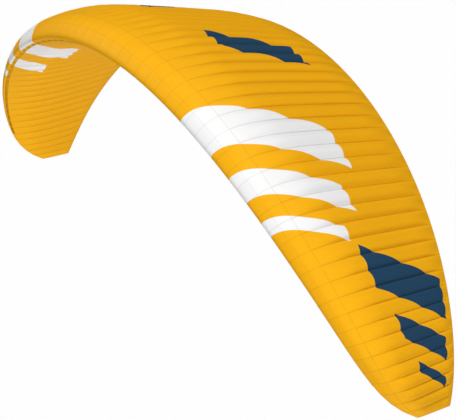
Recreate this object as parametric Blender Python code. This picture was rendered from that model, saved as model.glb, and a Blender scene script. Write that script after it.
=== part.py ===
"""Paraglider wing in its flying shape.

A ram-air wing of 65 cells, modelled as the sheets of cloth it is sewn from: upper skin, nose
panels, lower skin and the ribs between them, each a thin closed body of its own.

Axes: +X along the span to the right wing, +Y from the leading edge to the trailing edge, +Z up.
The origin is on the lower skin of the middle cell, at the suspension point of the centre.
Lengths are metres and angles are radians.
"""
import math

import bmesh
import bpy

# ---- Planform and arch ------------------------------------------------------------------
ROOT_CHORD = 2.55        # chord of the middle cell
HALF_SPAN = 5.96         # flat length from the centre line to a tip
CELL_COUNT = 65          # cells from tip to tip
CELLS_PER_BAY = 5        # cells sewn into one panel of each skin
CELL_TAPER = 0.193       # how much narrower the cells get towards the tips

# Each law below is a sum of factor * s ** power, where s runs from 0 at the centre to 1 at a tip.
ARCH_ANGLE = {1: 1.107, 3: -0.051, 5: 0.284}            # slope of the arch, radians
SWEEP = {2: 0.163, 4: 0.207, 8: -0.009, 24: 0.12}       # leading edge set back, root chords
CHORD_LAW = {0: 1.0, 2: -0.492, 4: -0.206, 24: -0.13}   # local chord, root chords
PITCH = {0: 0.046, 2: -0.019, 4: -0.024}                # nose-up angle of a rib
UPPER_FULLNESS = {0: 1.0, 2: 0.31, 4: 0.13}             # profile height against the root's
LOWER_FULLNESS = {0: 1.0, 4: 0.1}

# ---- Profile, in local chords -----------------------------------------------------------
UPPER_SHAPE = (0.431, 0.227, 0.233, 0.187)       # fullness at four places, nose to tail
LOWER_SHAPE = (-0.122, -0.145, -0.118, -0.044)
BEAK_REACH = 0.006       # how far the shark nose stands forward
BEAK_CENTRE = 0.03       # where on the nose it is longest
BEAK_WIDTH = 0.06        # how far round the nose it spreads
TAIL_RAISE = 0.0084      # how far the trailing edge is lifted
TIP_THIN_START = 0.93    # from here the profile thins out to the tip
TIP_THICKNESS = 0.25     # profile height left at the tip itself
SUSPENSION_CHORD = 0.3   # chord fraction of the suspension point

# ---- Seams, as places round the profile (0 nose, +1 and -1 trailing edge) ----------------
NOSE_TOP = {0: 0.316, 2: -0.051}     # seam between the nose panel and the upper skin
NOSE_FOLD = {0: 0.175, 2: -0.052}    # second seam round the nose
LIP = -0.081             # lower edge of the nose, the upper lip of the air intake
INTAKE_FLOOR = -0.16     # front edge of the lower skin
CLOSED_SEAM = -0.12      # where nose and lower skin meet in the closed cells at the tips

# ---- Cloth ------------------------------------------------------------------------------
CLOTH = 0.002            # thickness of every sheet
SEAM_GAP = 0.0003        # space left between two sheets at a seam
RIB_GAP = 0.0008         # space left between a rib's edge and the skin
TRAILING_HALF = 0.0022   # half the height of the trailing edge
CROWN_UPPER = 0.2        # height of a cell's crown against its width
CROWN_LOWER = 0.12
CROWN_RAMP = 0.22        # chord over which the crown grows behind the nose seam
CROWN_FADE = 0.06        # chord over which it dies at the trailing edge

# ---- Stations along the chord that the facets use ----------------------------------------
UPPER_STATIONS = (0.2, 0.34, 0.52, 0.72, 0.93)
LOWER_STATIONS = (0.16, 0.42, 0.93)
NOSE_STATIONS = (-0.02, 0.04, 0.11)
RIB_TAIL = 0.7           # share of the last facet that a rib still fills

YELLOW = (0.9, 0.43, 0.009, 1.0)
RIB_YELLOW = (0.86, 0.42, 0.02, 1.0)

TIP = CELL_COUNT / 2
BAY_COUNT = CELL_COUNT // CELLS_PER_BAY
OUTER_BAY = BAY_COUNT // 2
ARC_STEPS = 400


def law(factors, s):
    """Value of a spanwise law at s."""
    return sum(factor * s ** power for power, factor in factors.items())


def make_arch():
    """Points of the arch in the X-Z plane, by walking along it in short steps."""
    step = HALF_SPAN / ARC_STEPS
    points = [(0.0, 0.0)]
    for index in range(ARC_STEPS):
        slope = law(ARCH_ANGLE, (index + 0.5) / ARC_STEPS)
        x, z = points[-1]
        points.append((x + step * math.cos(slope), z - step * math.sin(slope)))
    return points


ARCH = make_arch()


def arch_point(s):
    """X, Z and slope of the arch at s, for the right half."""
    place = min(s, 1.0) * ARC_STEPS
    index = min(int(place), ARC_STEPS - 1)
    part = place - index
    (x0, z0), (x1, z1) = ARCH[index], ARCH[index + 1]
    return x0 + part * (x1 - x0), z0 + part * (z1 - z0), law(ARCH_ANGLE, s)


def span_place(cell):
    """Place s of a cell number counted from the middle; half numbers are ribs."""
    v = abs(cell) / TIP
    return v * (1 + CELL_TAPER) - CELL_TAPER * v ** 3


def bernstein(shape, f):
    """Smooth mean of the four fullness values of a profile side at chord fraction f."""
    g = 1 - f
    weights = (g ** 3, 3 * f * g ** 2, 3 * f ** 2 * g, f ** 3)
    return sum(a * w for a, w in zip(shape, weights))


def thinning(s):
    """Share of the full profile height, which rounds off towards the tip."""
    if s <= TIP_THIN_START:
        return 1.0
    reach = (s - TIP_THIN_START) / (1 - TIP_THIN_START)
    return TIP_THICKNESS + (1 - TIP_THICKNESS) * math.sqrt(max(0.0, 1 - reach ** 2))


def profile(t, s):
    """Chord and height of the profile at place t, in local chords."""
    f = t * t
    shape = UPPER_SHAPE if t >= 0 else LOWER_SHAPE
    fullness = law(UPPER_FULLNESS if t >= 0 else LOWER_FULLNESS, s) * thinning(s)
    height = abs(t) * (1 - f) * bernstein(shape, f) * fullness
    beak = BEAK_REACH * math.exp(-((t - BEAK_CENTRE) / BEAK_WIDTH) ** 2)
    return f - beak, height + TAIL_RAISE * f ** 6


def outward(t, s):
    """Unit normal of the profile at t, pointing out of the wing."""
    step = 0.004
    ahead = min(t + step, 1.0)
    behind = max(t - step, -1.0)
    x1, z1 = profile(ahead, s)
    x0, z0 = profile(behind, s)
    length = math.hypot(x1 - x0, z1 - z0)
    return -(z1 - z0) / length, (x1 - x0) / length


def smooth(x):
    """Smooth step from 0 to 1."""
    x = max(0.0, min(1.0, x))
    return x * x * (3 - 2 * x)


def cell_width(cell):
    """Width of the cell that holds this place."""
    middle = math.floor(abs(cell) + 0.5)
    inner = span_place(max(middle - 0.5, 0.0))
    outer = span_place(min(middle + 0.5, TIP))
    width = (outer - inner) * HALF_SPAN
    return width * 2 if middle == 0 else width


def to_space(cell, back, high, aside=0.0):
    """Turn a place in a rib's own plane, and a step out of that plane, into X, Y and Z."""
    s = span_place(cell)
    pitch = law(PITCH, s)
    level = back * math.cos(pitch) + high * math.sin(pitch)
    rise = high * math.cos(pitch) - back * math.sin(pitch)
    arch_x, arch_z, slope = arch_point(s)
    side = arch_x + rise * math.sin(slope) + aside * math.cos(slope)
    up = arch_z + rise * math.cos(slope) - aside * math.sin(slope)
    return math.copysign(side, cell), ROOT_CHORD * law(SWEEP, s) + level, up


def skin_point(t, cell, inward=0.0, aside=0.0):
    """Place on a rib's line at profile place t, set in from the outer face of the cloth."""
    s = span_place(cell)
    chord = ROOT_CHORD * law(CHORD_LAW, s)
    fx, fz = profile(t, s)
    nx, nz = outward(t, s)
    tail = math.copysign(TRAILING_HALF, t) * t * t
    return to_space(cell, fx * chord - nx * inward, fz * chord + tail - nz * inward, aside)


def crown_step(t, cell):
    """How far the blown-up middle of a cell stands off the line between its ribs."""
    s = span_place(cell)
    f = t * t
    front = law(NOSE_TOP, s) ** 2 if t > 0 else INTAKE_FLOOR ** 2
    height = CROWN_UPPER if t > 0 else CROWN_LOWER
    grow = smooth((f - front) / CROWN_RAMP) * smooth((1 - f) / CROWN_FADE)
    lift = height * cell_width(cell) * grow * thinning(s)
    nx, nz = outward(t, s)
    foot = to_space(cell, 0.0, 0.0)
    tip = to_space(cell, nx * lift, nz * lift)
    return added(tip, foot, -1.0)


def added(a, b, share=1.0):
    """Sum of two vectors, the second times a share."""
    return tuple(p + share * q for p, q in zip(a, b))


def middle_point(t, cell, start, end):
    """Middle of a cell, between the points of its two ribs and pushed out by the air."""
    half_way = tuple((p + q) / 2 for p, q in zip(start, end))
    return added(half_way, crown_step(t, cell))


def find_origin():
    """The suspension point, in the middle of the middle cell of the lower skin."""
    t = -math.sqrt(SUSPENSION_CHORD)
    return middle_point(t, 0.0, skin_point(t, -0.5), skin_point(t, 0.5))


ORIGIN = find_origin()


def closed(bay_middle):
    """Whether the two edges of the intake are sewn together, as they are at the tips."""
    return abs(bay_middle) > TIP - CELLS_PER_BAY


def nose_row(cell, bay_middle):
    """Places round the nose from the intake's lip to the upper skin's seam."""
    s = span_place(cell)
    fold = law(NOSE_FOLD, s)
    top = law(NOSE_TOP, s)
    share = fold / law(NOSE_FOLD, 0.0)
    between = [t * share if t > 0 else t for t in NOSE_STATIONS]
    below = [CLOSED_SEAM, LIP] if closed(bay_middle) else [LIP]
    return [*below, *between, fold, (fold + top) / 2, top]


def upper_row(cell, bay_middle):
    """Places on the upper skin from the nose seam to the trailing edge."""
    top = law(NOSE_TOP, span_place(cell))
    return [top, *(math.sqrt(f) for f in UPPER_STATIONS), 1.0]


def lower_row(cell, bay_middle):
    """Places on the lower skin from the intake to the trailing edge."""
    front = [CLOSED_SEAM, INTAKE_FLOOR] if closed(bay_middle) else [INTAKE_FLOOR]
    return [*front, *(-math.sqrt(f) for f in LOWER_STATIONS), -1.0]


def placed(point):
    """A point measured from the part's origin."""
    return added(point, ORIGIN, -1.0)


def material(name, colour):
    """Plain cloth finish."""
    made = bpy.data.materials.new(name)
    made.use_nodes = True
    shader = made.node_tree.nodes["Principled BSDF"]
    shader.inputs["Base Color"].default_value = colour
    shader.inputs["Roughness"].default_value = 0.6
    shader.inputs["Metallic"].default_value = 0.0
    made.diffuse_color = colour
    return made


def add_object(name, vertices, faces, finish):
    """One closed body from its points and faces."""
    mesh = bpy.data.meshes.new(name)
    mesh.from_pydata(vertices, [], faces)
    mesh.materials.append(finish)
    shell = bmesh.new()
    shell.from_mesh(mesh)
    bmesh.ops.recalc_face_normals(shell, faces=shell.faces)
    bmesh.ops.triangulate(shell, faces=shell.faces)
    shell.to_mesh(mesh)
    shell.free()
    bpy.context.scene.collection.objects.link(bpy.data.objects.new(name, mesh))


def shifted(t, s):
    """Place moved back along the profile by one seam gap."""
    step = 0.001
    x1, z1 = profile(t + step, s)
    x0, z0 = profile(t, s)
    chord = ROOT_CHORD * law(CHORD_LAW, s)
    return t + math.copysign(SEAM_GAP, t) * step / (math.hypot(x1 - x0, z1 - z0) * chord)


def places_of(row, cell, bay_middle):
    """Places of a row, its front edge set back by one seam gap on the two skins."""
    places = row(cell, bay_middle)
    if row is not nose_row:
        places[0] = shifted(places[0], span_place(cell))
    return places


def rows_of(row, ribs, bay_middle, inward, blown):
    """Rows of points over a bay, one at each rib and one at each blown cell's middle."""
    rows = []
    for cell in ribs:
        outer = -1.0 if abs(cell) > abs(bay_middle) or bay_middle == 0 else 1.0
        aside = outer * SEAM_GAP / 2 if cell in (ribs[0], ribs[-1]) else 0.0
        places = places_of(row, cell, bay_middle)
        points = [skin_point(t, cell, inward, aside) for t in places]
        if rows and blown:
            pairs = zip(places, before, points)
            middle = cell - 0.5
            rows.append([middle_point(t, middle, p, q) for t, p, q in pairs])
        rows.append(points)
        before = points
    return rows


def sheet(name, row, ribs, bay_middle, blown, finish):
    """A sheet of cloth over a bay, with an outer face, an inner face and edges."""
    outer = rows_of(row, ribs, bay_middle, 0.0, blown)
    inner = rows_of(row, ribs, bay_middle, CLOTH, blown)
    length = len(outer)
    width = len(outer[0])
    vertices = [placed(point) for points in outer + inner for point in points]
    count = length * width
    faces = []
    for i in range(length - 1):
        for j in range(width - 1):
            a = i * width + j
            quad = (a, a + 1, a + width + 1, a + width)
            faces.append(quad)
            faces.append(tuple(v + count for v in reversed(quad)))
    rim = list(range(width))
    rim += [i * width + width - 1 for i in range(1, length)]
    rim += [(length - 1) * width + j for j in range(width - 2, -1, -1)]
    rim += [i * width for i in range(length - 2, 0, -1)]
    for a, b in zip(rim, rim[1:] + rim[:1]):
        faces.append((a, a + count, b + count, b))
    add_object(name, vertices, faces, finish)


def roomy(t, cell):
    """Whether the skins leave room for a rib between them at place t."""
    s = span_place(cell)
    depth = profile(abs(t), s)[1] - profile(-abs(t), s)[1]
    return depth * ROOT_CHORD * law(CHORD_LAW, s) > 2 * (CLOTH + RIB_GAP) + CLOTH


def rib(name, cell, finish):
    """A profile-shaped sheet between the skins, in the plane of one seam."""
    inset = CLOTH + RIB_GAP
    upper = upper_row(cell, cell)
    lower = lower_row(cell, cell)
    over = [t for t in nose_row(cell, cell)[:-1] + upper[:-1] if roomy(t, cell)]
    under = [t for t in reversed(lower[:-1]) if roomy(t, cell)]
    outline = [skin_point(t, cell, inset) for t in over]
    if upper[-2] in over:
        outline.append(tail_point(upper, cell, inset))
        outline.append(tail_point(lower, cell, inset))
    outline += [skin_point(t, cell, inset) for t in under]
    if closed(cell):
        outline.pop()
    slope = law(ARCH_ANGLE, span_place(cell))
    sign = -1.0 if cell < 0 else 1.0
    at_tip = abs(cell) == TIP
    vertices = []
    for aside in (-CLOTH - SEAM_GAP, -SEAM_GAP) if at_tip else (-CLOTH / 2, CLOTH / 2):
        across = (sign * aside * math.cos(slope), 0.0, -aside * math.sin(slope))
        vertices += [placed(added(point, across)) for point in outline]
    count = len(outline)
    faces = [tuple(range(count)), tuple(range(2 * count - 1, count - 1, -1))]
    for a in range(count):
        b = (a + 1) % count
        faces.append((a, a + count, b + count, b))
    add_object(name, vertices, faces, finish)


def tail_point(row, cell, inset):
    """End of a rib, part of the way along the last facet of a skin."""
    a = skin_point(row[-2], cell, inset)
    b = skin_point(row[-1], cell, inset)
    return added(a, added(b, a, -1.0), RIB_TAIL)


def side_name(number):
    """Suffix of a bay or rib: c in the middle, then r1, r2 ... and l1, l2 ..."""
    if number == 0:
        return "c"
    return ("r" if number > 0 else "l") + str(abs(number))


def build():
    """All panels and ribs."""
    for thing in list(bpy.data.objects):
        bpy.data.objects.remove(thing, do_unlink=True)
    upper_cloth = material("upper_cloth", YELLOW)
    nose_cloth = material("nose_cloth", YELLOW)
    lower_cloth = material("lower_cloth", YELLOW)
    rib_cloth = material("rib_cloth", RIB_YELLOW)
    for bay in range(-OUTER_BAY, OUTER_BAY + 1):
        middle = bay * CELLS_PER_BAY
        ribs = [middle - CELLS_PER_BAY / 2 + i for i in range(CELLS_PER_BAY + 1)]
        suffix = side_name(bay)
        sheet("upper_skin_" + suffix, upper_row, ribs, middle, True, upper_cloth)
        sheet("nose_" + suffix, nose_row, ribs, middle, False, nose_cloth)
        sheet("lower_skin_" + suffix, lower_row, ribs, middle, True, lower_cloth)
    for number in range(1, OUTER_BAY + 2):
        cell = (number - 0.5) * CELLS_PER_BAY
        finish = upper_cloth if cell == TIP else rib_cloth
        rib("rib_" + side_name(number), cell, finish)
        rib("rib_" + side_name(-number), -cell, finish)


build()
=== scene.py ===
import math

import bmesh
import bpy
import numpy as np
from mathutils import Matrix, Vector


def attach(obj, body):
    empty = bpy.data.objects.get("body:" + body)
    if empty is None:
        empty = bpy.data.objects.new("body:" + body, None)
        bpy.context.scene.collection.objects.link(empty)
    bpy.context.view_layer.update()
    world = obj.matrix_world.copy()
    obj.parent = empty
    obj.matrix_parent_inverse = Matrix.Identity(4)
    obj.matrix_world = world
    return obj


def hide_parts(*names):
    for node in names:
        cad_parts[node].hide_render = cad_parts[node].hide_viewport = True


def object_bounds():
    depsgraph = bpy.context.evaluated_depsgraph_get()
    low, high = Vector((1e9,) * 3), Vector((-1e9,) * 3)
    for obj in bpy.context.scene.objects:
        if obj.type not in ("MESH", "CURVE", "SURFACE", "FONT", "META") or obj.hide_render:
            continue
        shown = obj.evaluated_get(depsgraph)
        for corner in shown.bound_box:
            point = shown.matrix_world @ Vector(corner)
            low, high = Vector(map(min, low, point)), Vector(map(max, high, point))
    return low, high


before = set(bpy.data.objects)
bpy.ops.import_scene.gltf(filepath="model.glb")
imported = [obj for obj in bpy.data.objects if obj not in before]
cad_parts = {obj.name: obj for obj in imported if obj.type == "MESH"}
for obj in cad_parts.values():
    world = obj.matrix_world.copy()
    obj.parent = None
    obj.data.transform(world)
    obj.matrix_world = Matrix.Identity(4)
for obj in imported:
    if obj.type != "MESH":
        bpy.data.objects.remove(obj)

cad_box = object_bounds()

# ---- Sizes and laws repeated from the part, in metres and radians ------------------------
ROOT_CHORD = 2.55
HALF_SPAN = 5.96
CELL_COUNT = 65
CELLS_PER_BAY = 5
CELL_TAPER = 0.193
ARCH_ANGLE = {1: 1.107, 3: -0.051, 5: 0.284}
SWEEP = {2: 0.163, 4: 0.207, 8: -0.009, 24: 0.12}
CHORD_LAW = {0: 1.0, 2: -0.492, 4: -0.206, 24: -0.13}
PITCH = {0: 0.046, 2: -0.019, 4: -0.024}
UPPER_FULLNESS = {0: 1.0, 2: 0.31, 4: 0.13}
LOWER_FULLNESS = {0: 1.0, 4: 0.1}
UPPER_SHAPE = (0.431, 0.227, 0.233, 0.187)
LOWER_SHAPE = (-0.122, -0.145, -0.118, -0.044)
BEAK_REACH = 0.006
BEAK_CENTRE = 0.03
BEAK_WIDTH = 0.06
TAIL_RAISE = 0.0084
TIP_THIN_START = 0.93
TIP_THICKNESS = 0.25
SUSPENSION_CHORD = 0.3
NOSE_TOP = {0: 0.316, 2: -0.051}
NOSE_FOLD = {0: 0.175, 2: -0.052}
LIP = -0.081
INTAKE_FLOOR = -0.16
CLOSED_SEAM = -0.12
CLOTH = 0.002
SEAM_GAP = 0.0003
RIB_GAP = 0.0008
TRAILING_HALF = 0.0022
CROWN_UPPER = 0.2
CROWN_LOWER = 0.12
CROWN_RAMP = 0.22
CROWN_FADE = 0.15         # a crown dies over this; the part does it in one straight facet
ARC_STEPS = 400
TIP = CELL_COUNT / 2
OUTER_BAY = CELL_COUNT // CELLS_PER_BAY // 2

# ---- How finely the cloth is built -------------------------------------------------------
ACROSS = {"upper": 12, "nose": 6, "lower": 10}    # steps over one cell
ALONG = {"upper": 84, "nose": 30, "lower": 56}    # steps along the chord
RIB_ALONG = {"upper": 30, "nose": 14, "lower": 22}
PORTS = (0.1, 0.185, 0.29, 0.41, 0.53, 0.65)      # holes in a rib, by their place on the chord
PORT_LENGTH = 0.036                               # half length of a hole, in chords
PORT_HEIGHT = 0.27                                # half height, in profile heights
PORT_SIDES = 18
LEAST_PORT_DEPTH = 0.1                            # no hole where the profile is thinner
FAR_FROM_SEAM = 0.2                               # seam distance given to the plain tip ends

# ---- Camera, at the photograph's angle ---------------------------------------------------
CAMERA_PLACE = (14.8609, -7.9045, 4.9864)
CAMERA_AZIMUTH = math.radians(59.0355)
CAMERA_ELEVATION = math.radians(22.7302)
CAMERA_ROLL = math.radians(-1.3531)
CAMERA_LENS = 114.26
SENSOR = 36.0

# ---- Colours -----------------------------------------------------------------------------
YELLOW = (0.9, 0.43, 0.009, 1.0)
WHITE = (0.88, 0.88, 0.88, 1.0)
NAVY = (0.017, 0.06, 0.118, 1.0)
RIB_YELLOW = (0.86, 0.42, 0.02, 1.0)
# Painted glow of the ribs, standing in for light that soaks through the skins.
RIB_PAINTED_GLOW = (0.5, 0.45, 0.02, 1.0)

# ---- Looks of the cloth: lengths in metres, shades as shares of the colour ----------------
SEAM_AND_CREASE_SHADE = {"upper": 0.15, "nose": 0.08, "lower": 0.2}      # how much darker a seam looks: doubled cloth, and painted shade in the crease between cells
GRID_HALF = 0.0025        # half the pitch of the ripstop grid
THREAD_WIDTH = 0.0006     # half the width of a thick ripstop thread
THREAD_SHADE = 0.045
FOLD_AND_CREASE_WIDTH = 0.012        # doubled cloth and painted crease shade beside a seam along a rib
HEM_WIDTH = 0.007         # doubled cloth along the two ends of a panel
NOSE_SEAM_WIDTH = 0.007   # half width of the second nose seam, as a profile place
STITCH_LINE = 0.004       # a row of stitches lies this far from the seam
STITCH_HALF = 0.0005
STITCH_PITCH_HALF = 0.002
STITCH_DASH = 0.0013
STITCH_SHADE = 0.16
LOT_SPREAD = 0.022        # cells differ this much in shade
LOT_LEAST = 0.984
LOT_SEED = 0.37
FADE_SCALE = 1.7
FADE_SPREAD = 0.05
FADE_LEAST = 0.975
WORN_REACH = 0.05         # handling dulls the cloth this far from its edges
WORN_SHADE = 0.08
CREASE_REACH = 0.07       # creases gather this far from a seam
CREASE_HEIGHT = 0.0028
THREAD_HEIGHT = 0.00008
STITCH_HEIGHT = 0.0003
GRAIN_SCALE = 260.0
GRAIN_HEIGHT = 0.00006
CLOTH_BUMP = 0.6
CLOTH_SPECULAR = 0.1
SPECULAR_TINT = (1.0, 0.62, 0.2, 1.0)
SHEEN = 0.02
SHEEN_ROUGHNESS = 0.45
SHEEN_TINT = (1.0, 0.6, 0.15, 1.0)
RIB_THREAD_SHADE = 0.05
RIB_THREAD_HEIGHT = 0.0001
RIB_BUMP = 0.5
RIB_SPECULAR = 0.2
RIB_PAINTED_GLOW_STRENGTH = 0.25  # painted glow: the ribs' emission stands in for the light that soaks through the skins

# Slanted bars on the cloth: cell at the leading edge, cells outward per chord, half width in
# cells, first and last chord fraction.
WHITE_BARS = (
    (10.6, 5.5, 1.45, -1.0, 0.6),
    (14.6, 5.5, 0.85, -1.0, 0.47),
    (17.3, 5.5, 0.45, -1.0, 0.34),
)
NAVY_BARS = (
    (1.6, 5.5, 1.1, 0.42, 0.8),
    (19.3, 5.5, 1.35, 0.36, 0.93),
    (22.9, 5.5, 0.85, 0.42, 0.88),
    (25.6, 5.5, 0.45, 0.48, 0.83),
)
LOWER_WHITE_BARS = (
    (10.6, 5.5, 1.45, -1.0, 0.34),
    (14.6, 5.5, 0.85, -1.0, 0.24),
)


def law(factors, s):
    """Value of a spanwise law at s."""
    return sum(factor * s ** power for power, factor in factors.items())


WALK = HALF_SPAN / ARC_STEPS
SLOPES = law(ARCH_ANGLE, (np.arange(ARC_STEPS) + 0.5) / ARC_STEPS)
ARCH_X = np.concatenate([[0.0], np.cumsum(WALK * np.cos(SLOPES))])
ARCH_Z = -np.concatenate([[0.0], np.cumsum(WALK * np.sin(SLOPES))])
ARCH_S = np.linspace(0.0, 1.0, ARC_STEPS + 1)


def span_place(cell):
    """Place s of a cell number counted from the middle; half numbers are ribs."""
    v = abs(cell) / TIP
    return v * (1 + CELL_TAPER) - CELL_TAPER * v ** 3


def bernstein(shape, f):
    """Smooth mean of the four fullness values of a profile side at chord fraction f."""
    g = 1 - f
    first, second, third, last = shape
    return first * g ** 3 + 3 * second * f * g ** 2 + 3 * third * f * f * g + last * f ** 3


def thinning(s):
    """Share of the full profile height, which rounds off towards the tip."""
    if s <= TIP_THIN_START:
        return 1.0
    reach = (s - TIP_THIN_START) / (1 - TIP_THIN_START)
    return TIP_THICKNESS + (1 - TIP_THICKNESS) * math.sqrt(max(0.0, 1 - reach ** 2))


def profile(t, s):
    """Chord and height of the profile at the places t, in local chords."""
    f = t * t
    upper = bernstein(UPPER_SHAPE, f) * law(UPPER_FULLNESS, s)
    lower = bernstein(LOWER_SHAPE, f) * law(LOWER_FULLNESS, s)
    height = abs(t) * (1 - f) * np.where(t >= 0, upper, lower) * thinning(s)
    beak = BEAK_REACH * np.exp(-(((t - BEAK_CENTRE) / BEAK_WIDTH) ** 2))
    return f - beak, height + TAIL_RAISE * f ** 6


def outward(t, s):
    """Unit normals of the profile at t, pointing out of the wing."""
    step = 0.004
    x1, z1 = profile(np.minimum(t + step, 1.0), s)
    x0, z0 = profile(np.maximum(t - step, -1.0), s)
    length = np.hypot(x1 - x0, z1 - z0)
    return -(z1 - z0) / length, (x1 - x0) / length


def smooth(x):
    """Smooth step from 0 to 1."""
    x = np.clip(x, 0.0, 1.0)
    return x * x * (3 - 2 * x)


def cell_width(cell):
    """Width of the cell whose middle this is."""
    middle = abs(cell)
    width = (span_place(middle + 0.5) - span_place(max(middle - 0.5, 0.0))) * HALF_SPAN
    return width * 2 if middle == 0 else width


def to_space(cell, back, high, aside=0.0):
    """Turn places in a rib's own plane, and a step out of that plane, into points."""
    s = span_place(cell)
    pitch = law(PITCH, s)
    slope = law(ARCH_ANGLE, s)
    level = back * math.cos(pitch) + high * math.sin(pitch)
    rise = high * math.cos(pitch) - back * math.sin(pitch)
    side = np.interp(s, ARCH_S, ARCH_X) + rise * math.sin(slope) + aside * math.cos(slope)
    up = np.interp(s, ARCH_S, ARCH_Z) + rise * math.cos(slope) - aside * math.sin(slope)
    back = ROOT_CHORD * law(SWEEP, s) + level
    return np.stack([math.copysign(1.0, cell) * side, back, up], axis=-1)


def skin_points(t, cell, inward=0.0, aside=0.0):
    """Points on a rib's line at profile places t, set in from the outer face of the cloth."""
    s = span_place(cell)
    chord = ROOT_CHORD * law(CHORD_LAW, s)
    fx, fz = profile(t, s)
    nx, nz = outward(t, s)
    tail = np.sign(t) * TRAILING_HALF * t * t
    return to_space(cell, fx * chord - nx * inward, fz * chord + tail - nz * inward, aside)


def crown(t, cell):
    """How far the blown-up middle of a cell stands off the line between its ribs."""
    s = span_place(cell)
    f = t * t
    front = np.where(t > 0, law(NOSE_TOP, s) ** 2, INTAKE_FLOOR ** 2)
    height = np.where(t > 0, CROWN_UPPER, CROWN_LOWER)
    bent = np.clip(1 - (1 - f) / CROWN_FADE, 0.0, 1.0)
    grow = smooth((f - front) / CROWN_RAMP) * (1 - bent ** 2)
    lift = height * cell_width(cell) * grow * thinning(s)
    nx, nz = outward(t, s)
    return to_space(cell, nx * lift, nz * lift) - to_space(cell, 0.0 * lift, 0.0 * lift)


def find_origin():
    """The suspension point, in the middle of the middle cell of the lower skin."""
    t = np.array([-math.sqrt(SUSPENSION_CHORD)])
    return ((skin_points(t, -0.5) + skin_points(t, 0.5)) / 2 + crown(t, 0.0))[0]


ORIGIN = find_origin()


def closed(place):
    """Whether the two edges of the intake are sewn together, as they are at the tips."""
    return abs(place) > TIP - CELLS_PER_BAY


def row(kind, cell, bay_middle, steps):
    """Places along the chord of one of the three kinds of panel, at a rib."""
    s = span_place(cell)
    share = np.linspace(0.0, 1.0, steps + 1)
    if kind == "nose":
        front = CLOSED_SEAM if closed(bay_middle) else LIP
        return front + share * (law(NOSE_TOP, s) - front)
    if kind == "upper":
        front = law(NOSE_TOP, s)
    else:
        front = CLOSED_SEAM if closed(bay_middle) else INTAKE_FLOOR
    x1, z1 = profile(np.array([front + 0.001]), s)
    x0, z0 = profile(np.array([front]), s)
    chord = ROOT_CHORD * law(CHORD_LAW, s)
    gap = SEAM_GAP * 0.001 / (float(np.hypot(x1 - x0, z1 - z0)[0]) * chord)
    start = abs(front) + gap
    # Stations close together at the front, where the crown grows, and even behind it.
    f = start ** 2 + (1 - start ** 2) * (0.25 * share ** 2 + 0.75 * share)
    t = np.sqrt(f)
    t[-1] = 1.0
    return t if kind == "upper" else -t


def panel_grid(kind, ribs, bay_middle, inward):
    """Points of one face of a panel: an array of spanwise lines by chordwise stations."""
    across = ACROSS[kind]
    lines, places = [], []
    for cell in ribs:
        outer = -1.0 if abs(cell) > abs(bay_middle) or bay_middle == 0 else 1.0
        aside = outer * SEAM_GAP / 2 if cell in (ribs[0], ribs[-1]) else 0.0
        t = row(kind, cell, bay_middle, ALONG[kind])
        lines.append(skin_points(t, cell, inward, aside))
        places.append(t)
    points, cells, chords, from_rib = [], [], [], []
    for index in range(len(ribs) - 1):
        middle = ribs[index] + 0.5
        for step in range(across + (index == len(ribs) - 2)):
            w = step / across
            t = (1 - w) * places[index] + w * places[index + 1]
            line = (1 - w) * lines[index] + w * lines[index + 1]
            if kind != "nose" and 0 < step < across:
                line = line + crown(t, middle) * 4 * w * (1 - w)
            points.append(line)
            cells.append(ribs[index] + w)
            chords.append(t)
            from_rib.append(min(w, 1 - w) * cell_width(middle))
    return np.array(points) - ORIGIN, np.array(cells), np.array(chords), np.array(from_rib)


def finish_mesh(name, vertices, faces, maps, sharp, material):
    """A closed mesh with its maps, smooth but for the edges named by sharp."""
    mesh = bpy.data.meshes.new(name)
    mesh.from_pydata(vertices.tolist(), [], faces)
    loops = np.empty(len(mesh.loops), np.int32)
    mesh.loops.foreach_get("vertex_index", loops)
    for label, values in maps.items():
        layer = mesh.uv_layers.new(name=label)
        layer.uv.foreach_set("vector", values[loops].astype(np.float32).ravel())
    mesh.polygons.foreach_set("use_smooth", np.ones(len(mesh.polygons), bool))
    ends = np.empty(len(mesh.edges) * 2, np.int32)
    mesh.edges.foreach_get("vertices", ends)
    mesh.edges.foreach_set("use_edge_sharp", sharp(ends.reshape(-1, 2)))
    mesh.materials.append(material)
    mesh.update()
    thing = bpy.data.objects.new(name, mesh)
    bpy.context.scene.collection.objects.link(thing)
    return thing


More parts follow.
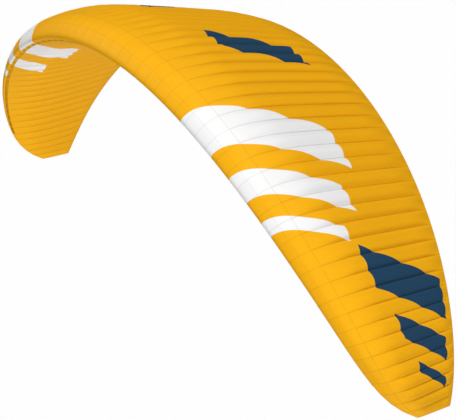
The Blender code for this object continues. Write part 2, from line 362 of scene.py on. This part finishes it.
def panel(kind, suffix, ribs, bay_middle, material):
    """One sheet of cloth over a bay: outer face, inner face and cut edges."""
    outer, cells, chords, from_rib = panel_grid(kind, ribs, bay_middle, 0.0)
    inner = panel_grid(kind, ribs, bay_middle, CLOTH)[0]
    length, width = chords.shape
    count = length * width
    index = np.arange(count).reshape(length, width)
    a, b = index[:-1, :-1].ravel(), index[:-1, 1:].ravel()
    c, d = index[1:, 1:].ravel(), index[1:, :-1].ravel()
    first = np.stack([a, b, c, d], axis=1)
    if kind == "lower":
        first = first[:, ::-1]
    # The lines run from left to right, so the outer face looks out of the wing on both halves.
    faces = first[:, ::-1].tolist() + (first + count).tolist()
    rim = list(index[0]) + list(index[1:, -1]) + list(index[-1, -2::-1]) + list(index[-2:0:-1, 0])
    ring = [(p, q, q + count, p + count) for p, q in zip(rim, rim[1:] + rim[:1])]
    if kind == "lower":
        ring = [tuple(reversed(quad)) for quad in ring]
    faces += [tuple(int(v) for v in quad) for quad in ring]

    chord_steps = np.linalg.norm(np.diff(outer, axis=1), axis=2)
    run = np.concatenate([np.zeros((length, 1)), np.cumsum(chord_steps, axis=1)], axis=1)
    span_run = np.array([math.copysign(span_place(cell) * HALF_SPAN, cell) for cell in cells])
    flat_cells = np.repeat(cells, width)
    place = np.stack([flat_cells, chords.ravel()], axis=1)
    cloth = np.stack([np.repeat(span_run, width), run.ravel()], axis=1)
    edge = np.minimum(run, run[:, -1:] - run).ravel()
    seam = np.stack([np.repeat(from_rib, width), edge], axis=1)
    maps = {"place": place, "cloth": cloth, "seam": seam}
    maps = {label: np.concatenate([values, values]) for label, values in maps.items()}

    line = np.tile(np.repeat(np.arange(length), width), 2)
    station = np.tile(np.tile(np.arange(width), length), 2)
    face = np.repeat([0, 1], count)

    def sharp(ends):
        """Cut edges, and the creases at the ribs."""
        p, q = ends[:, 0], ends[:, 1]
        crease = (line[p] == line[q]) & (line[p] % ACROSS[kind] == 0)
        cut = (station[p] == station[q]) & ((station[p] == 0) | (station[p] == width - 1))
        return crease | cut | (face[p] != face[q])

    points = np.concatenate([outer, inner]).reshape(-1, 3)
    thing = finish_mesh("cloth_" + kind + "_" + suffix, points, faces, maps, sharp, material)
    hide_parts(NODE_NAMES[kind] + suffix)
    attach(thing, "root")
    return thing


def rib_name(cell):
    """Suffix of a rib: l or r and its number from the middle."""
    return ("r" if cell > 0 else "l") + str(int(abs(cell) + 0.5))


def roomy(t, cell):
    """Which places t leave room for a rib between the skins."""
    s = span_place(cell)
    depth = profile(abs(t), s)[1] - profile(-abs(t), s)[1]
    return depth * ROOT_CHORD * law(CHORD_LAW, s) > 2 * (CLOTH + RIB_GAP) + CLOTH


def rib_outline(cell):
    """Outline of a rib as chord and height in its own plane, with the two sides' places."""
    nose = row("nose", cell, cell, RIB_ALONG["nose"])
    upper = row("upper", cell, cell, RIB_ALONG["upper"])
    lower = row("lower", cell, cell, RIB_ALONG["lower"])[::-1]
    over = np.concatenate([nose[:-1], upper])
    over = over[roomy(over, cell)]
    under = lower[roomy(lower, cell)]
    if closed(cell):
        under = under[:-1]
    return np.concatenate([over, under])


def rib_ports(cell):
    """Loops of the holes in a rib, as chord and height in metres."""
    s = span_place(cell)
    chord = ROOT_CHORD * law(CHORD_LAW, s)
    loops = []
    for f in PORTS:
        t = np.array([math.sqrt(f)])
        top = float(profile(t, s)[1][0]) * chord
        low = float(profile(-t, s)[1][0]) * chord
        depth = top - low
        if depth < LEAST_PORT_DEPTH:
            continue
        turn = np.linspace(0.0, 2 * math.pi, PORT_SIDES, endpoint=False)
        back = f * chord + PORT_LENGTH * chord * np.cos(turn)
        high = (top + low) / 2 + PORT_HEIGHT * depth * np.sin(turn)
        loops.append((back, high))
    return loops


def rib(cell, material):
    """A profile-shaped sheet between the skins, with its holes."""
    inset = CLOTH + RIB_GAP
    at_tip = abs(cell) == TIP
    s = span_place(cell)
    chord = ROOT_CHORD * law(CHORD_LAW, s)
    t = rib_outline(cell)
    fx, fz = profile(t, s)
    nx, nz = outward(t, s)
    tail = np.sign(t) * TRAILING_HALF * t * t
    loops = [(fx * chord - nx * inset, fz * chord + tail - nz * inset)]
    if not at_tip:
        loops += rib_ports(cell)
    flat = bmesh.new()
    starts = []
    for back, high in loops:
        made = [flat.verts.new((float(x), float(z), 0.0)) for x, z in zip(back, high)]
        starts.append((len(flat.verts) - len(made), len(made)))
        for p, q in zip(made, made[1:] + made[:1]):
            flat.edges.new((p, q))
    flat.verts.index_update()
    bmesh.ops.triangle_fill(flat, edges=flat.edges[:], use_beauty=True, normal=(0, 0, 1))
    flat.verts.index_update()
    triangles = [[v.index for v in face.verts] for face in flat.faces]
    area = sum(face.calc_area() for face in flat.faces)
    back = np.array([v.co.x for v in flat.verts])
    high = np.array([v.co.y for v in flat.verts])
    flat.free()
    count = len(back)
    asides = (-CLOTH - SEAM_GAP, -SEAM_GAP) if at_tip else (-CLOTH / 2, CLOTH / 2)
    points = np.concatenate([to_space(cell, back, high, aside) for aside in asides]) - ORIGIN
    faces = triangles + [[v + count for v in reversed(face)] for face in triangles]
    for start, number in starts:
        for k in range(number):
            p, q = start + k, start + (k + 1) % number
            faces.append([p, p + count, q + count, q])
    cloth = np.tile(np.stack([back, high], axis=1), (2, 1))
    place = np.stack([np.full(count, cell), np.sqrt(np.clip(back / chord, 0.0, 1.0))], axis=1)
    place = np.tile(place, (2, 1))
    seam = np.full((2 * count, 2), FAR_FROM_SEAM)

    def sharp(ends):
        """Everything on a rib is either flat or a cut edge."""
        return np.ones(len(ends), bool)

    name = "rib_sheet_" + rib_name(cell)
    maps = {"place": place, "cloth": cloth, "seam": seam}
    thing = finish_mesh(name, points, faces, maps, sharp, material)
    shell = bmesh.new()
    shell.from_mesh(thing.data)
    bmesh.ops.recalc_face_normals(shell, faces=shell.faces)
    shell.to_mesh(thing.data)
    shell.free()
    number = (abs(cell) + CELLS_PER_BAY / 2) / CELLS_PER_BAY
    if number == int(number):
        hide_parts("rib_" + ("r" if cell > 0 else "l") + str(int(number)))
    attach(thing, "root")
    return thing


# ---- Materials ---------------------------------------------------------------------------
class Graph:
    """Short hand for building a node tree."""

    def __init__(self, name):
        self.material = bpy.data.materials.new(name)
        self.material.use_nodes = True
        self.tree = self.material.node_tree
        self.shader = self.tree.nodes["Principled BSDF"]

    def put(self, value, socket):
        """Links a socket, or sets a plain value."""
        if isinstance(value, bpy.types.NodeSocket):
            self.tree.links.new(value, socket)
        else:
            socket.default_value = value

    def math(self, operation, a, b=0.0, c=0.0, clamp=False):
        node = self.tree.nodes.new("ShaderNodeMath")
        node.operation = operation
        node.use_clamp = clamp
        for value, socket in zip((a, b, c), node.inputs):
            self.put(value, socket)
        return node.outputs[0]

    def map(self, label):
        """The two coordinates of one of the mesh's maps."""
        source = self.tree.nodes.new("ShaderNodeUVMap")
        source.uv_map = label
        parts = self.tree.nodes.new("ShaderNodeSeparateXYZ")
        self.tree.links.new(source.outputs[0], parts.inputs[0])
        return parts.outputs[0], parts.outputs[1]

    def join(self, x, y, z=0.0):
        node = self.tree.nodes.new("ShaderNodeCombineXYZ")
        for value, socket in zip((x, y, z), node.inputs):
            self.put(value, socket)
        return node.outputs[0]

    def noise(self, vector, scale, detail=2.0, roughness=0.5):
        node = self.tree.nodes.new("ShaderNodeTexNoise")
        node.inputs["Scale"].default_value = scale
        node.inputs["Detail"].default_value = detail
        node.inputs["Roughness"].default_value = roughness
        self.tree.links.new(vector, node.inputs["Vector"])
        return node.outputs[0]

    def mix(self, share, a, b):
        node = self.tree.nodes.new("ShaderNodeMix")
        node.data_type = "RGBA"
        self.put(share, node.inputs[0])
        self.put(a, node.inputs[6])
        self.put(b, node.inputs[7])
        return node.outputs[2]

    def ramp(self, value, low, high, to_low=0.0, to_high=1.0):
        """Value carried smoothly from one range to another."""
        node = self.tree.nodes.new("ShaderNodeMapRange")
        node.interpolation_type = "SMOOTHSTEP"
        for number, socket in zip((value, low, high, to_low, to_high), node.inputs):
            self.put(number, socket)
        return node.outputs[0]

    def scaled(self, colour, shade):
        """A colour times a shade."""
        node = self.tree.nodes.new("ShaderNodeVectorMath")
        node.operation = "SCALE"
        self.put(colour, node.inputs[0])
        self.put(shade, node.inputs["Scale"])
        return node.outputs[0]

    def bump(self, height, strength):
        """Stands the surface up by a height in metres."""
        node = self.tree.nodes.new("ShaderNodeBump")
        node.inputs["Strength"].default_value = strength
        node.inputs["Distance"].default_value = 1.0
        self.put(height, node.inputs["Height"])
        self.put(node.outputs[0], self.shader.inputs["Normal"])

    def bars(self, table, cell, chord):
        """1 inside any of the slanted bars, and 0 outside."""
        inside = None
        for start, slant, half, front, back in table:
            middle = self.math("MULTIPLY_ADD", chord, slant, start)
            across = self.math("COMPARE", cell, middle, half)
            within = self.math("COMPARE", chord, (front + back) / 2, (back - front) / 2)
            bar = self.math("MULTIPLY", across, within)
            inside = bar if inside is None else self.math("MAXIMUM", inside, bar)
        return inside


def ripstop(graph, across, along):
    """1 on the thick threads of the ripstop grid, and 0 between them."""
    grid_x = graph.math("PINGPONG", across, GRID_HALF)
    grid_y = graph.math("PINGPONG", along, GRID_HALF)
    return graph.ramp(graph.math("MINIMUM", grid_x, grid_y), 0.0, THREAD_WIDTH, 1.0, 0.0)


def stitches(graph, from_seam, run):
    """1 on the stitches of a row beside a seam, and 0 elsewhere."""
    line = graph.math("COMPARE", from_seam, STITCH_LINE, STITCH_HALF)
    pitch = graph.math("PINGPONG", run, STITCH_PITCH_HALF)
    return graph.math("MULTIPLY", line, graph.math("LESS_THAN", pitch, STITCH_DASH))


def cloth_material(name, white, navy, kind):
    """Coated ripstop nylon with its sewn panels, seams, stitches and creases."""
    g = Graph(name)
    cell, chord_place = g.map("place")
    across, along = g.map("cloth")
    from_rib, from_edge = g.map("seam")
    flat = g.join(across, along)
    side = g.math("ABSOLUTE", cell)
    chord = g.math("MULTIPLY", chord_place, chord_place)

    # Sewn panels of other colours.
    colour = YELLOW
    if white:
        colour = g.mix(g.bars(white, side, chord), colour, WHITE)
    if navy:
        colour = g.mix(g.bars(navy, side, chord), colour, NAVY)

    # Every cell is cut from its own length of cloth, and fades a little unevenly.
    number = g.math("ROUND", cell)
    lot = g.tree.nodes.new("ShaderNodeTexWhiteNoise")
    lot.noise_dimensions = "1D"
    g.tree.links.new(g.math("ADD", number, LOT_SEED), lot.inputs["W"])
    shade = g.math("MULTIPLY_ADD", lot.outputs[0], LOT_SPREAD, LOT_LEAST)
    faded = g.noise(flat, FADE_SCALE, 3.0)
    shade = g.math("MULTIPLY", shade, g.math("MULTIPLY_ADD", faded, FADE_SPREAD, FADE_LEAST))

    thread = ripstop(g, across, along)
    shade = g.math("MULTIPLY", shade, g.math("MULTIPLY_ADD", thread, -THREAD_SHADE, 1.0))

    # Seams along the ribs and at the panel's two ends, with their rows of stitches.
    fold_and_crease = g.ramp(from_rib, 0.0, FOLD_AND_CREASE_WIDTH, 1.0, 0.0)
    hem = g.ramp(from_edge, 0.0, HEM_WIDTH, 1.0, 0.0)
    stitch = g.math("MAXIMUM", stitches(g, from_rib, along), stitches(g, from_edge, across))
    seam = g.math("MAXIMUM", fold_and_crease, hem)
    # Darker along the seams: partly the doubled cloth, partly painted shade in the creases where
    # the cells meet.
    shade = g.math("MULTIPLY", shade, g.math("MULTIPLY_ADD", seam, -SEAM_AND_CREASE_SHADE[kind], 1.0))
    shade = g.math("MULTIPLY", shade, g.math("MULTIPLY_ADD", stitch, -STITCH_SHADE, 1.0))
    if kind == "nose":
        # The second seam round the nose follows the spanwise law of the part.
        v = g.math("DIVIDE", side, TIP)
        cube = g.math("POWER", v, 3.0)
        s = g.math("MULTIPLY", v, 1 + CELL_TAPER)
        s = g.math("MULTIPLY_ADD", cube, -CELL_TAPER, s)
        square = g.math("MULTIPLY", s, s)
        seam_place = g.math("MULTIPLY_ADD", square, NOSE_FOLD[2], NOSE_FOLD[0])
        gap = g.math("ABSOLUTE", g.math("SUBTRACT", chord_place, seam_place))
        second = g.ramp(gap, 0.0, NOSE_SEAM_WIDTH, 1.0, 0.0)
        shade = g.math("MULTIPLY", shade, g.math("MULTIPLY_ADD", second, -SEAM_AND_CREASE_SHADE[kind], 1.0))
        seam = g.math("MAXIMUM", seam, second)

    # Handling dulls the cloth along its edges.
    streaks = g.join(g.math("MULTIPLY", across, 3.0), g.math("MULTIPLY", along, 9.0))
    rubbed = g.noise(streaks, 4.0, 4.0, 0.6)
    rim = g.ramp(from_edge, 0.0, WORN_REACH, 1.0, 0.0)
    worn = g.math("MULTIPLY", rim, g.ramp(rubbed, 0.52, 0.75))
    shade = g.math("MULTIPLY", shade, g.math("MULTIPLY_ADD", worn, -WORN_SHADE, 1.0))
    g.put(g.scaled(colour, shade), g.shader.inputs["Base Color"])

    gloss = g.math("MULTIPLY_ADD", faded, 0.16, 0.44)
    gloss = g.math("MULTIPLY_ADD", seam, 0.1, gloss)
    gloss = g.math("MULTIPLY_ADD", worn, 0.12, gloss, True)
    g.put(gloss, g.shader.inputs["Roughness"])

    # Fine creases gather at the seams; the threads stand up from the coating.
    crease_map = g.join(g.math("MULTIPLY", from_rib, 9.0), g.math("MULTIPLY", along, 24.0), number)
    crease = g.noise(crease_map, 1.0, 3.0, 0.55)
    crease = g.math("MULTIPLY", crease, g.ramp(from_rib, 0.0, CREASE_REACH, 1.0, 0.0))
    height = g.math("MULTIPLY", crease, CREASE_HEIGHT)
    height = g.math("MULTIPLY_ADD", thread, THREAD_HEIGHT, height)
    height = g.math("MULTIPLY_ADD", stitch, STITCH_HEIGHT, height)
    height = g.math("MULTIPLY_ADD", g.noise(flat, GRAIN_SCALE, 1.0), GRAIN_HEIGHT, height)
    g.bump(height, CLOTH_BUMP)

    g.shader.inputs["Specular IOR Level"].default_value = CLOTH_SPECULAR
    g.shader.inputs["Specular Tint"].default_value = SPECULAR_TINT
    g.shader.inputs["Sheen Weight"].default_value = SHEEN
    g.shader.inputs["Sheen Roughness"].default_value = SHEEN_ROUGHNESS
    g.shader.inputs["Sheen Tint"].default_value = SHEEN_TINT
    return g.material


def rib_material():
    """Stiff ripstop of the ribs, a shade paler and duller than the skins, with a painted glow."""
    g = Graph("rib_ripstop")
    across, along = g.map("cloth")
    flat = g.join(across, along)
    uneven = g.noise(flat, 5.0, 3.0)
    thread = ripstop(g, across, along)
    shade = g.math("MULTIPLY_ADD", uneven, 0.06, 0.95)
    shade = g.math("MULTIPLY", shade, g.math("MULTIPLY_ADD", thread, -RIB_THREAD_SHADE, 1.0))
    g.put(g.scaled(RIB_YELLOW[:3], shade), g.shader.inputs["Base Color"])
    g.put(g.math("MULTIPLY_ADD", uneven, 0.15, 0.5), g.shader.inputs["Roughness"])
    g.bump(g.math("MULTIPLY", thread, RIB_THREAD_HEIGHT), RIB_BUMP)
    g.shader.inputs["Specular IOR Level"].default_value = RIB_SPECULAR
    # Painted glow: emission stands in for the light that soaks through the skins.
    g.shader.inputs["Emission Color"].default_value = RIB_PAINTED_GLOW
    g.shader.inputs["Emission Strength"].default_value = RIB_PAINTED_GLOW_STRENGTH
    return g.material


def floor_material(glow):
    """Plain pale floor with a very faint mottle."""
    g = Graph("pale_floor")
    where = g.tree.nodes.new("ShaderNodeTexCoord").outputs["Object"]
    mottle = g.noise(where, 0.35, 3.0)
    tone = g.math("MULTIPLY_ADD", mottle, 0.01, 0.93)
    g.put(g.join(tone, tone, tone), g.shader.inputs["Base Color"])
    g.shader.inputs["Roughness"].default_value = 0.9
    g.shader.inputs["Specular IOR Level"].default_value = 0.0
    g.shader.inputs["Emission Color"].default_value = (1.0, 1.0, 1.0, 1.0)
    g.shader.inputs["Emission Strength"].default_value = glow
    return g.material


# ---- The wing ----------------------------------------------------------------------------
NODE_NAMES = {"upper": "upper_skin_", "nose": "nose_", "lower": "lower_skin_"}
cloths = {
    "upper": cloth_material("upper_ripstop", WHITE_BARS, NAVY_BARS, "upper"),
    "nose": cloth_material("nose_ripstop", WHITE_BARS, (), "nose"),
    "lower": cloth_material("lower_ripstop", LOWER_WHITE_BARS, (), "lower"),
}
rib_cloth = rib_material()

for bay in range(-OUTER_BAY, OUTER_BAY + 1):
    bay_middle = bay * CELLS_PER_BAY
    bay_ribs = [bay_middle - CELLS_PER_BAY / 2 + i for i in range(CELLS_PER_BAY + 1)]
    bay_name = "c" if bay == 0 else ("r" if bay > 0 else "l") + str(abs(bay))
    for panel_kind in ("upper", "nose", "lower"):
        panel(panel_kind, bay_name, bay_ribs, bay_middle, cloths[panel_kind])

for rib_number in range(CELL_COUNT + 1):
    rib_cell = rib_number - TIP
    if abs(rib_cell) == TIP:
        rib(rib_cell, cloths["upper"])
    else:
        rib(rib_cell, rib_cloth)

# ---- Floor, light and camera -------------------------------------------------------------
FLOOR_DROP = 40.0        # the wing flies this far above the floor
FLOOR_HALF = 400.0
FLOOR_GLOW = 0.1         # light of its own, which keeps the pale floor near white
BACKDROP_GLOW = 1.0      # brightness of the plain backdrop behind the floor's far edge
floor_level = cad_box[0][2] - FLOOR_DROP
floor_mesh = bpy.data.meshes.new("floor")
floor_corners = [(-FLOOR_HALF, -FLOOR_HALF), (FLOOR_HALF, -FLOOR_HALF)]
floor_corners += [(FLOOR_HALF, FLOOR_HALF), (-FLOOR_HALF, FLOOR_HALF)]
floor_mesh.from_pydata([(x, y, floor_level) for x, y in floor_corners], [], [(0, 1, 2, 3)])
floor_mesh.materials.append(floor_material(FLOOR_GLOW))
floor = bpy.data.objects.new("floor", floor_mesh)
bpy.context.scene.collection.objects.link(floor)
floor.visible_diffuse = False
floor.visible_glossy = False
floor.visible_shadow = False

# A plain pale backdrop that is only seen; the lamps alone light the wing.
world = bpy.data.worlds.new("studio")
world.use_nodes = True
backdrop = world.node_tree.nodes["Background"]
backdrop.inputs["Color"].default_value = (1.0, 1.0, 1.0, 1.0)
backdrop.inputs["Strength"].default_value = BACKDROP_GLOW
world.cycles_visibility.diffuse = False
world.cycles_visibility.glossy = False
bpy.context.scene.world = world


def sun(name, azimuth, elevation, strength, spread):
    """A soft distant lamp that shines from this azimuth and elevation, in degrees."""
    lamp = bpy.data.lights.new(name, "SUN")
    lamp.energy = strength
    lamp.angle = math.radians(spread)
    thing = bpy.data.objects.new(name, lamp)
    a, e = math.radians(azimuth), math.radians(elevation)
    thing.rotation_mode = "XYZ"
    thing.rotation_euler = (math.pi / 2 - e, 0.0, a)
    bpy.context.scene.collection.objects.link(thing)
    return thing


# Name, azimuth, elevation, strength, spread and whether it shows in the cloth's gloss.
LAMPS = (
    ("overhead", 30.0, 85.0, 2.48, 15.0, True),
    ("front", 30.0, 20.0, 1.0, 15.0, True),
    ("right", 60.0, 0.0, 1.2, 15.0, True),
    ("left", -60.0, 20.0, 0.43, 15.0, True),
    ("below", 90.0, -40.0, 1.2, 15.0, True),
    ("ground", 0.0, -90.0, 0.95, 120.0, True),
    ("back", 250.0, -6.0, 0.8, 15.0, False),
)
for lamp_name, lamp_azimuth, lamp_elevation, lamp_strength, lamp_spread, lamp_gloss in LAMPS:
    lamp_thing = sun(lamp_name, lamp_azimuth, lamp_elevation, lamp_strength, lamp_spread)
    lamp_thing.visible_glossy = lamp_gloss

camera_data = bpy.data.cameras.new("camera")
camera_data.lens = CAMERA_LENS
camera_data.sensor_width = SENSOR
camera_data.sensor_fit = "HORIZONTAL"
camera_data.clip_end = 1000.0
camera = bpy.data.objects.new("camera", camera_data)
bpy.context.scene.collection.objects.link(camera)
camera.location = CAMERA_PLACE


def camera_turn():
    """Euler angles of the camera from its azimuth, elevation and roll."""
    from mathutils import Matrix, Vector

    az, el, ro = CAMERA_AZIMUTH, CAMERA_ELEVATION, CAMERA_ROLL
    look = Vector((-math.sin(az) * math.cos(el), math.cos(az) * math.cos(el), -math.sin(el)))
    right = look.cross(Vector((0, 0, 1))).normalized()
    up = right.cross(look)
    image_right = right * math.cos(ro) + up * math.sin(ro)
    image_up = up * math.cos(ro) - right * math.sin(ro)
    return Matrix((image_right, image_up, -look)).transposed().to_euler()


camera.rotation_euler = camera_turn()
bpy.context.scene.camera = camera
bpy.context.scene.view_settings.view_transform = "Standard"
